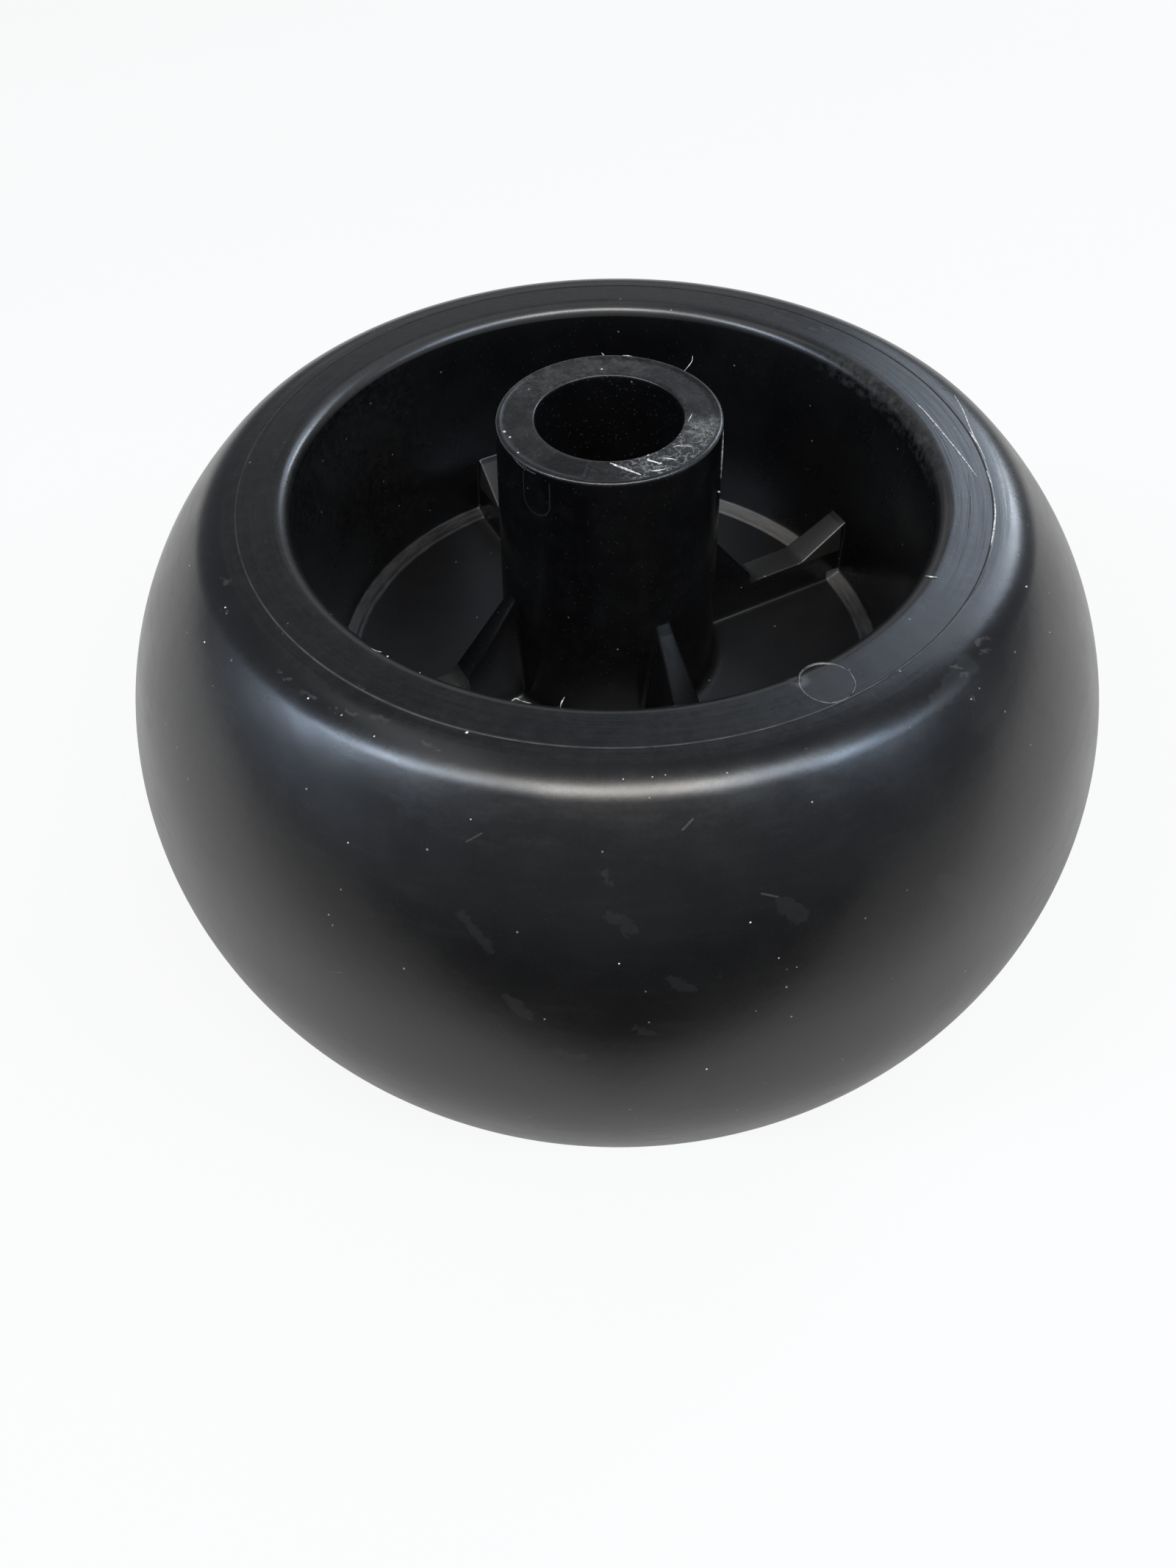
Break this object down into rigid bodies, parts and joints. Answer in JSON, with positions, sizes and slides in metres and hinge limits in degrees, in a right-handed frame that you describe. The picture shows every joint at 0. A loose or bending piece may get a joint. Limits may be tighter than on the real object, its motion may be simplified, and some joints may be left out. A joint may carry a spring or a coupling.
{
  "type": "mower anti-scalp roller",
  "caption": "Crowned plastic deck roller with a deep cup in each side and a ribbed hub tube with a plain through bore, for rolling on an axle bolt under a mower deck.",
  "frame": {"origin": "on the bore's axis, halfway between the two hub ends, which is also mid-width of the tread", "axes": "+Z along the bore, up as it stands on one hub end; +X and +Y each along a rib"},
  "size_m": [0.127, 0.127, 0.0856],
  "materials": {
    "roller_plastic": "satin black moulded polyethylene, lightly scuffed"
  },
  "bodies": {
    "root": {"roller": "roller_plastic"}
  },
  "joints": []
}
